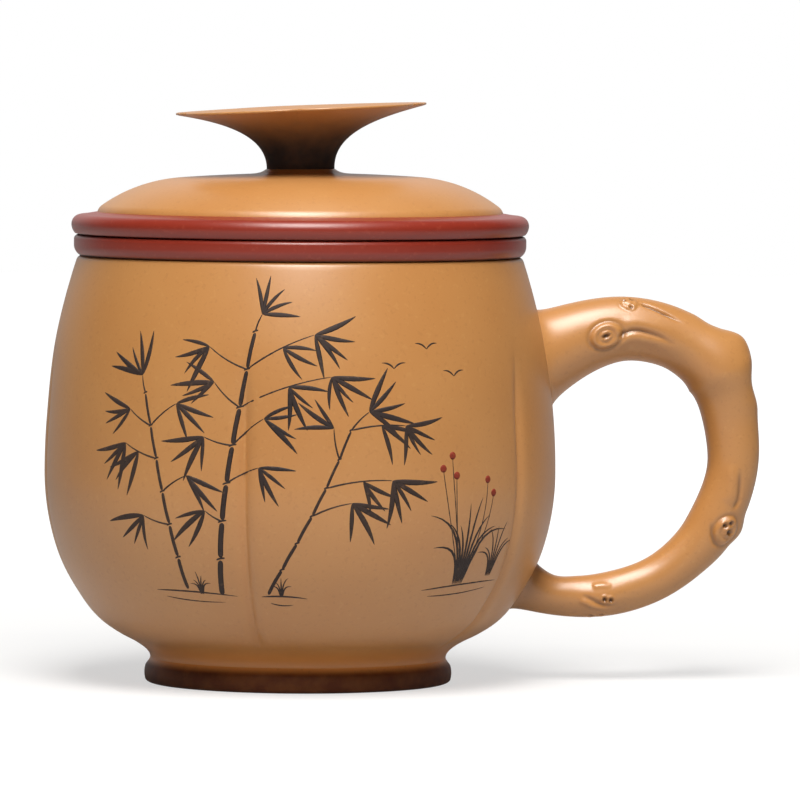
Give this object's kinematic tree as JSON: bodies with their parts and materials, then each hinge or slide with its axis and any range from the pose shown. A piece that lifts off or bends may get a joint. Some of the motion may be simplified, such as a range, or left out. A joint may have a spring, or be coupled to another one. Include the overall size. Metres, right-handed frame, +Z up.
{
  "type": "lidded infuser cup",
  "caption": "Lobed clay tea cup on a foot ring with a branch-shaped handle, a lift-out strainer that hangs in its mouth and a loose domed lid with a petal-rimmed trumpet knob.",
  "frame": {"origin": "centre of the foot ring's flat face, on the axis of the cup", "axes": "+Z up along the axis of the cup, +X towards the handle, -Y towards the decorated front"},
  "size_m": [0.1385, 0.0994, 0.1117],
  "materials": {
    "ochre_clay": "satin",
    "red_clay": "satin"
  },
  "bodies": {
    "cup": {"cup_wall": "ochre_clay", "cup_floor": "ochre_clay", "foot_ring": "ochre_clay", "handle_branch": "ochre_clay", "knot_eye": "ochre_clay", "knot_crest": "ochre_clay", "knot_heel": "ochre_clay", "knot_underside": "ochre_clay"},
    "infuser": {"infuser_flange": "red_clay", "infuser_tube": "red_clay", "infuser_base": "red_clay"},
    "lid": {"lid_band": "red_clay", "lid_collar": "ochre_clay", "lid_dome": "ochre_clay", "lid_knob": "ochre_clay"}
  },
  "joints": [
    {"name": "infuser_lift", "type": "slide", "parent": "cup", "child": "infuser", "axis": [0, 0, 1], "range_m": [0, 0.07]},
    {"name": "lid_lift", "type": "slide", "parent": "infuser", "child": "lid", "axis": [0, 0, 1], "range_m": [0, 0.04]}
  ]
}
